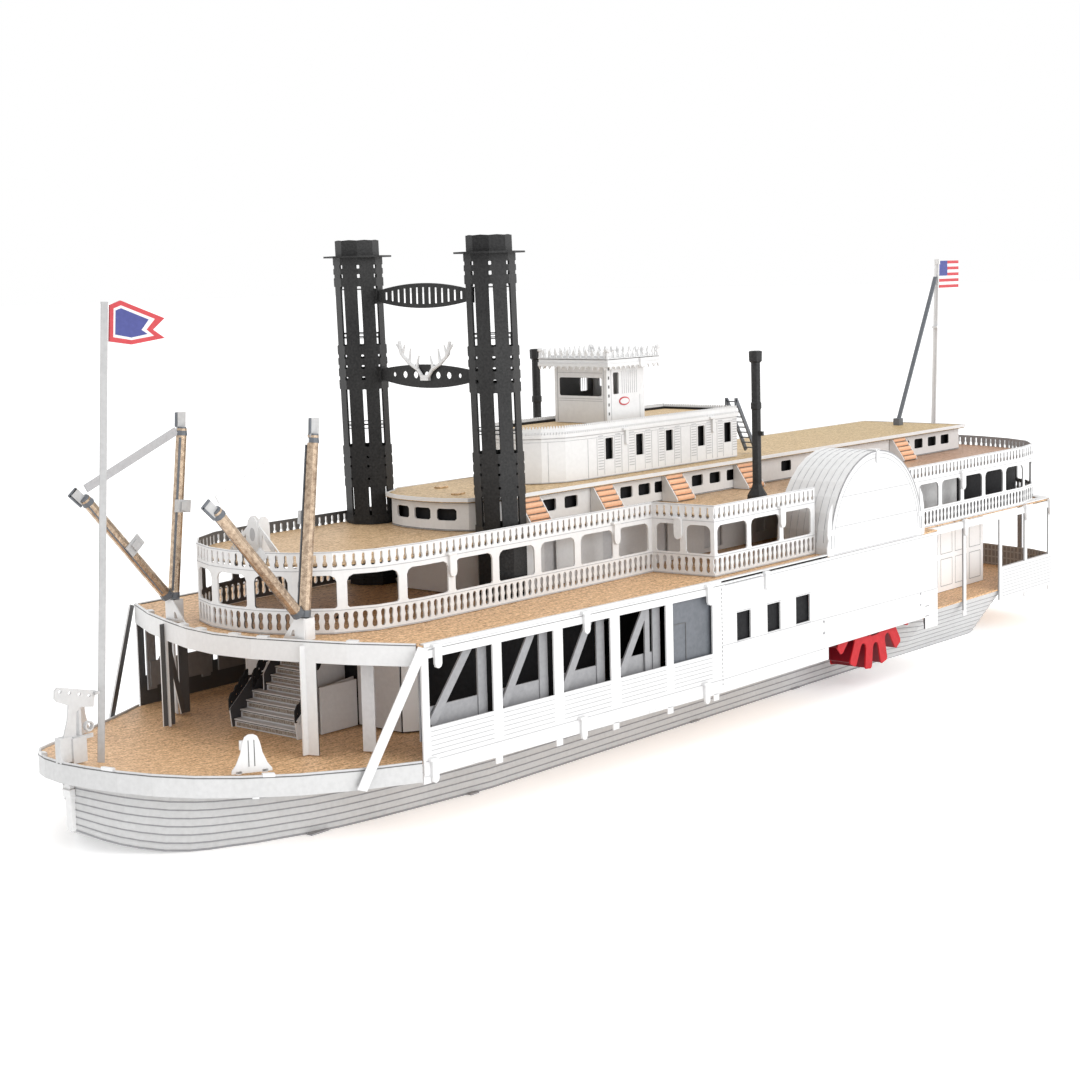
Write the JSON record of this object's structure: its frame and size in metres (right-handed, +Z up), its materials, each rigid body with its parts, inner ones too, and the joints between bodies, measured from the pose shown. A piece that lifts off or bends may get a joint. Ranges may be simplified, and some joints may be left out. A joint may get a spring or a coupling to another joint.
{
  "type": "side wheel paddle steamer display model",
  "caption": "Folded sheet metal model of a side-wheel river steamer with arcaded decks, twin tall funnels and two turning paddle wheels.",
  "frame": {"origin": "bottom of the hull, at the centre of the bounding box's footprint", "axes": "+X to the bow, +Y to port, +Z up"},
  "size_m": [0.2644, 0.0728, 0.0874],
  "materials": {
    "white_sheet": "satin white print on steel sheet",
    "grey_sheet": "dark satin sheet",
    "black_sheet": "satin black print on steel sheet",
    "deck_tan": "printed plank pattern, satin",
    "roof_tan": "printed plank pattern, satin",
    "copper_spar": "copper coloured, polished",
    "wheel_red": "satin red print on steel sheet",
    "flag_red": "satin print on steel sheet",
    "flag_blue": "satin print on steel sheet"
  },
  "bodies": {
    "boat": {"boiler_deck": "deck_tan", "bow_bitts": "white_sheet", "bow_gallery": "white_sheet", "bow_guard": "white_sheet", "burgee": "flag_red", "ensign": "flag_blue", "ensign_staff": "white_sheet", "ensign_stay": "grey_sheet", "fore_arcade": "white_sheet", "grand_stair": "grey_sheet", "hull": "white_sheet", "hurricane_deck": "roof_tan", "jackstaff": "white_sheet", "low_house": "white_sheet", "low_house_roof": "roof_tan", "lower_funnel_brace": "black_sheet", "main_cabin": "grey_sheet", "main_deck": "deck_tan", "pilot_house": "white_sheet", "pilot_house_roof": "white_sheet", "port_derrick_boom": "copper_spar", "port_derrick_foot": "white_sheet", "port_derrick_mast": "copper_spar", "port_derrick_stay": "white_sheet", "port_diagonal_brace": "white_sheet", "port_funnel": "black_sheet", "port_kevel": "white_sheet", "port_paddle_box": "white_sheet", "port_shaft": "grey_sheet", "port_side_wall": "white_sheet", "port_steam_pipe": "black_sheet", "port_steps_1": "roof_tan", "port_steps_2": "roof_tan", "port_steps_3": "roof_tan", "port_steps_4": "roof_tan", "port_steps_5": "roof_tan", "saloon": "white_sheet", "starboard_derrick_boom": "copper_spar", "starboard_derrick_foot": "white_sheet", "starboard_derrick_mast": "copper_spar", "starboard_derrick_stay": "white_sheet", "starboard_diagonal_brace": "white_sheet", "starboard_funnel": "black_sheet", "starboard_kevel": "white_sheet", "starboard_paddle_box": "white_sheet", "starboard_shaft": "grey_sheet", "starboard_side_wall": "white_sheet", "starboard_steam_pipe": "black_sheet", "starboard_steps_1": "roof_tan", "starboard_steps_2": "roof_tan", "starboard_steps_3": "roof_tan", "starboard_steps_4": "roof_tan", "starboard_steps_5": "roof_tan", "stern_arcade": "white_sheet", "stern_gallery": "white_sheet", "texas": "white_sheet", "texas_roof": "roof_tan", "upper_funnel_brace": "black_sheet"},
    "port_wheel": {"port_paddle_wheel": "wheel_red"},
    "starboard_wheel": {"starboard_paddle_wheel": "wheel_red"}
  },
  "joints": [
    {"name": "port_wheel_spin", "type": "hinge", "parent": "boat", "child": "port_wheel", "pos_m": [-0.03205, 0.0313, 0.0204], "axis": [0, 1, 0], "continuous": true},
    {"name": "starboard_wheel_spin", "type": "hinge", "parent": "boat", "child": "starboard_wheel", "pos_m": [-0.03205, -0.0313, 0.0204], "axis": [0, 1, 0], "continuous": true}
  ]
}
